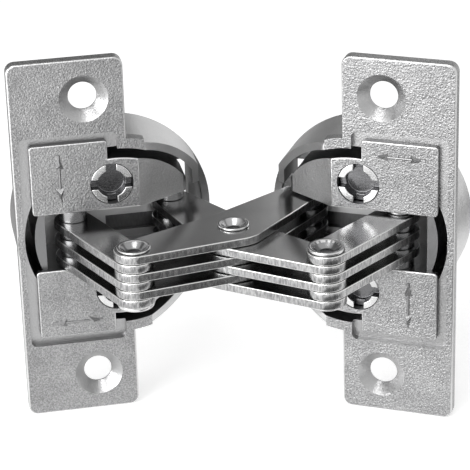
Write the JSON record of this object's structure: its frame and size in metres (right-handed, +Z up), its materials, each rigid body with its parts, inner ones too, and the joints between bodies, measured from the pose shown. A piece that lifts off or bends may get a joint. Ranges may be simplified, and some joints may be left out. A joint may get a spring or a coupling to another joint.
{
  "type": "concealed hinge",
  "caption": "Concealed furniture hinge: two adjustable cup leaves with screw plates, joined by a stack of crossing links that fold between them.",
  "frame": {"origin": "centre of the left leaf's two screw holes, on the back of its plate, where it seats", "axes": "+X across the left plate towards the right leaf, +Y into the cup, +Z up along the pivots"},
  "size_m": [0.0777, 0.0403, 0.065],
  "materials": {
    "satin_casting": "satin nickel plated zinc casting with a fine grain",
    "screw_steel": "bright plated steel",
    "guide_steel": "plated sheet steel",
    "link_steel": "dark polished plated steel with bright edges",
    "pin_steel": "bright turned steel"
  },
  "bodies": {
    "left_housing": {"left_housing": "satin_casting"},
    "left_guide": {"left_guide_plate": "guide_steel"},
    "left_carrier": {"left_carrier": "satin_casting", "left_arm_pin": "pin_steel", "left_link_pin": "pin_steel", "left_arm_spacers": "pin_steel", "left_link_spacers": "pin_steel"},
    "left_height_screw": {"left_height_screw": "screw_steel"},
    "left_side_screw": {"left_side_screw": "screw_steel"},
    "left_arm": {"left_arm_plate_1": "link_steel", "left_arm_plate_2": "link_steel", "left_arm_plate_3": "link_steel", "right_front_rivet": "pin_steel"},
    "left_link": {"left_link_plate_1": "link_steel", "left_link_plate_2": "link_steel", "left_link_plate_3": "link_steel"},
    "right_housing": {"right_housing": "satin_casting"},
    "right_guide": {"right_guide_plate": "guide_steel"},
    "right_carrier": {"right_carrier": "satin_casting", "right_arm_pin": "pin_steel", "right_link_pin": "pin_steel", "right_arm_spacers": "pin_steel", "right_link_spacers": "pin_steel"},
    "right_height_screw": {"right_height_screw": "screw_steel"},
    "right_side_screw": {"right_side_screw": "screw_steel"},
    "right_arm": {"right_arm_plate_1": "link_steel", "right_arm_plate_2": "link_steel", "right_arm_plate_3": "link_steel", "left_front_rivet": "pin_steel", "centre_rivet": "pin_steel"},
    "right_link": {"right_link_plate_1": "link_steel", "right_link_plate_2": "link_steel", "right_link_plate_3": "link_steel"}
  },
  "joints": [
    {"name": "left_height_slide", "type": "slide", "parent": "left_housing", "child": "left_guide", "axis": [0, 0, 1], "range_m": [-0.0012, 0.0012]},
    {"name": "left_side_slide", "type": "slide", "parent": "left_guide", "child": "left_carrier", "axis": [1, 0, 0], "range_m": [-0.0008, 0.0008]},
    {"name": "fold", "type": "hinge", "parent": "left_carrier", "child": "left_arm", "pos_m": [0.01495, 0.00575, 0], "axis": [0, 0, 1], "range_deg": [-41, 29]},
    {"name": "arms_cross", "type": "hinge", "parent": "left_arm", "child": "right_arm", "pos_m": [0.02269, -0.01248, 0], "axis": [0, 0, 1], "range_deg": [-29, 41]},
    {"name": "left_link_swing", "type": "hinge", "parent": "left_carrier", "child": "left_link", "pos_m": [-0.00267, 0.0006, 0], "axis": [0, 0, 1], "range_deg": [-41, 29]},
    {"name": "right_leaf_swing", "type": "hinge", "parent": "right_arm", "child": "right_carrier", "pos_m": [0.03829, -0.00029, 0], "axis": [0, 0, 1], "range_deg": [-41, 29]},
    {"name": "right_link_swing", "type": "hinge", "parent": "right_carrier", "child": "right_link", "pos_m": [0.0512, -0.01333, 0], "axis": [0, 0, 1], "range_deg": [-29, 41]},
    {"name": "right_side_slide", "type": "slide", "parent": "right_carrier", "child": "right_guide", "axis": [-0.8746, 0.4848, 0], "range_m": [-0.0008, 0.0008]},
    {"name": "right_height_slide", "type": "slide", "parent": "right_guide", "child": "right_housing", "axis": [0, 0, 1], "range_m": [-0.0012, 0.0012]},
    {"name": "left_height_turn", "type": "hinge", "parent": "left_carrier", "child": "left_height_screw", "pos_m": [0.004, -0.002, 0.0099], "axis": [0, -1, 0], "range_deg": [-60, 60]},
    {"name": "left_side_turn", "type": "hinge", "parent": "left_carrier", "child": "left_side_screw", "pos_m": [0.004, -0.002, -0.0099], "axis": [0, -1, 0], "range_deg": [-60, 60]},
    {"name": "right_height_turn", "type": "hinge", "parent": "right_carrier", "child": "right_height_screw", "pos_m": [0.04411, -0.01237, -0.0099], "axis": [-0.4848, -0.8746, 0], "range_deg": [-60, 60]},
    {"name": "right_side_turn", "type": "hinge", "parent": "right_carrier", "child": "right_side_screw", "pos_m": [0.04411, -0.01237, 0.0099], "axis": [-0.4848, -0.8746, 0], "range_deg": [-60, 60]}
  ],
  "couplings": [
    {"joint": "arms_cross", "follows": "fold", "ratio": -1},
    {"joint": "left_link_swing", "follows": "fold", "ratio": 1},
    {"joint": "right_leaf_swing", "follows": "fold", "ratio": 1},
    {"joint": "right_link_swing", "follows": "fold", "ratio": -1},
    {"joint": "left_height_turn", "follows": "left_height_slide", "rad_per_m": 870},
    {"joint": "left_side_turn", "follows": "left_side_slide", "rad_per_m": 1300},
    {"joint": "right_height_turn", "follows": "right_height_slide", "rad_per_m": 870},
    {"joint": "right_side_turn", "follows": "right_side_slide", "rad_per_m": 1300}
  ]
}
